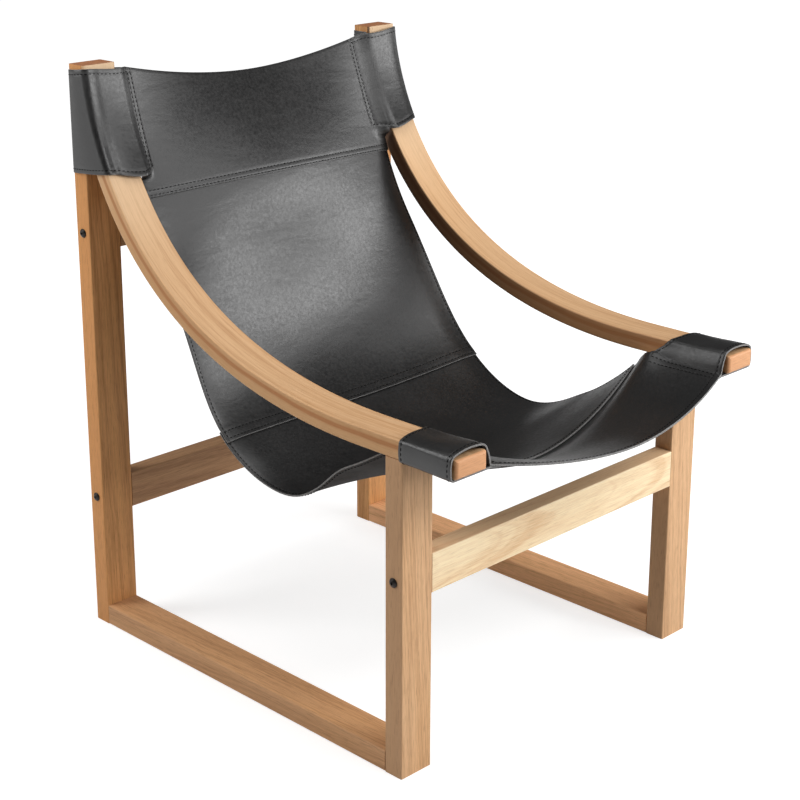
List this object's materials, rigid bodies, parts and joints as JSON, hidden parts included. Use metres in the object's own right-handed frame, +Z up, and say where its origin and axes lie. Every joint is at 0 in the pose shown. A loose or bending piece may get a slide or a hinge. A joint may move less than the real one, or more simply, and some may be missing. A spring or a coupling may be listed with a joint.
{
  "type": "sling lounge chair",
  "caption": "Low lounge chair with a slung leather seat and back hung between two doweled wooden side frames whose bent arms sweep up to the tops of the rear posts.",
  "frame": {"origin": "middle of the chair's footprint box, on the floor", "axes": "+Z up, +Y towards the chair's rear, X across the chair with +X at the sitter's left"},
  "size_m": [0.6582, 0.8318, 0.908],
  "materials": {
    "wood": "satin",
    "dowel_wood": "matte",
    "leather": "satin",
    "black_steel": "satin",
    "zinc_steel": "satin"
  },
  "bodies": {
    "root": {"front_stretcher": "wood", "rear_stretcher": "wood", "upper_rear_rail": "wood", "left_rear_post": "wood", "left_front_leg": "wood", "left_bottom_rail": "wood", "left_arm": "wood", "right_rear_post": "wood", "right_front_leg": "wood", "right_bottom_rail": "wood", "right_arm": "wood", "head_band": "leather", "back_panel": "leather", "seat_panel": "leather", "front_band": "leather", "left_front_stretcher_bolt": "black_steel", "left_rear_stretcher_bolt": "black_steel", "left_upper_rear_rail_bolt": "black_steel", "right_front_stretcher_bolt": "black_steel", "right_rear_stretcher_bolt": "black_steel", "right_upper_rear_rail_bolt": "black_steel", "left_front_stretcher_nut": "zinc_steel", "left_rear_stretcher_nut": "zinc_steel", "left_upper_rear_rail_nut": "zinc_steel", "right_front_stretcher_nut": "zinc_steel", "right_rear_stretcher_nut": "zinc_steel", "right_upper_rear_rail_nut": "zinc_steel", "left_front_stretcher_dowel_1": "dowel_wood", "left_front_stretcher_dowel_2": "dowel_wood", "left_rear_stretcher_dowel_1": "dowel_wood", "left_rear_stretcher_dowel_2": "dowel_wood", "left_upper_rear_rail_dowel_1": "dowel_wood", "left_upper_rear_rail_dowel_2": "dowel_wood", "left_arm_leg_dowel_1": "dowel_wood", "left_arm_leg_dowel_2": "dowel_wood", "left_arm_post_dowel_1": "dowel_wood", "left_arm_post_dowel_2": "dowel_wood", "left_rail_leg_dowel_1": "dowel_wood", "left_rail_leg_dowel_2": "dowel_wood", "left_rail_post_dowel_1": "dowel_wood", "left_rail_post_dowel_2": "dowel_wood", "right_front_stretcher_dowel_1": "dowel_wood", "right_front_stretcher_dowel_2": "dowel_wood", "right_rear_stretcher_dowel_1": "dowel_wood", "right_rear_stretcher_dowel_2": "dowel_wood", "right_upper_rear_rail_dowel_1": "dowel_wood", "right_upper_rear_rail_dowel_2": "dowel_wood", "right_arm_leg_dowel_1": "dowel_wood", "right_arm_leg_dowel_2": "dowel_wood", "right_arm_post_dowel_1": "dowel_wood", "right_arm_post_dowel_2": "dowel_wood", "right_rail_leg_dowel_1": "dowel_wood", "right_rail_leg_dowel_2": "dowel_wood", "right_rail_post_dowel_1": "dowel_wood", "right_rail_post_dowel_2": "dowel_wood"}
  },
  "joints": []
}
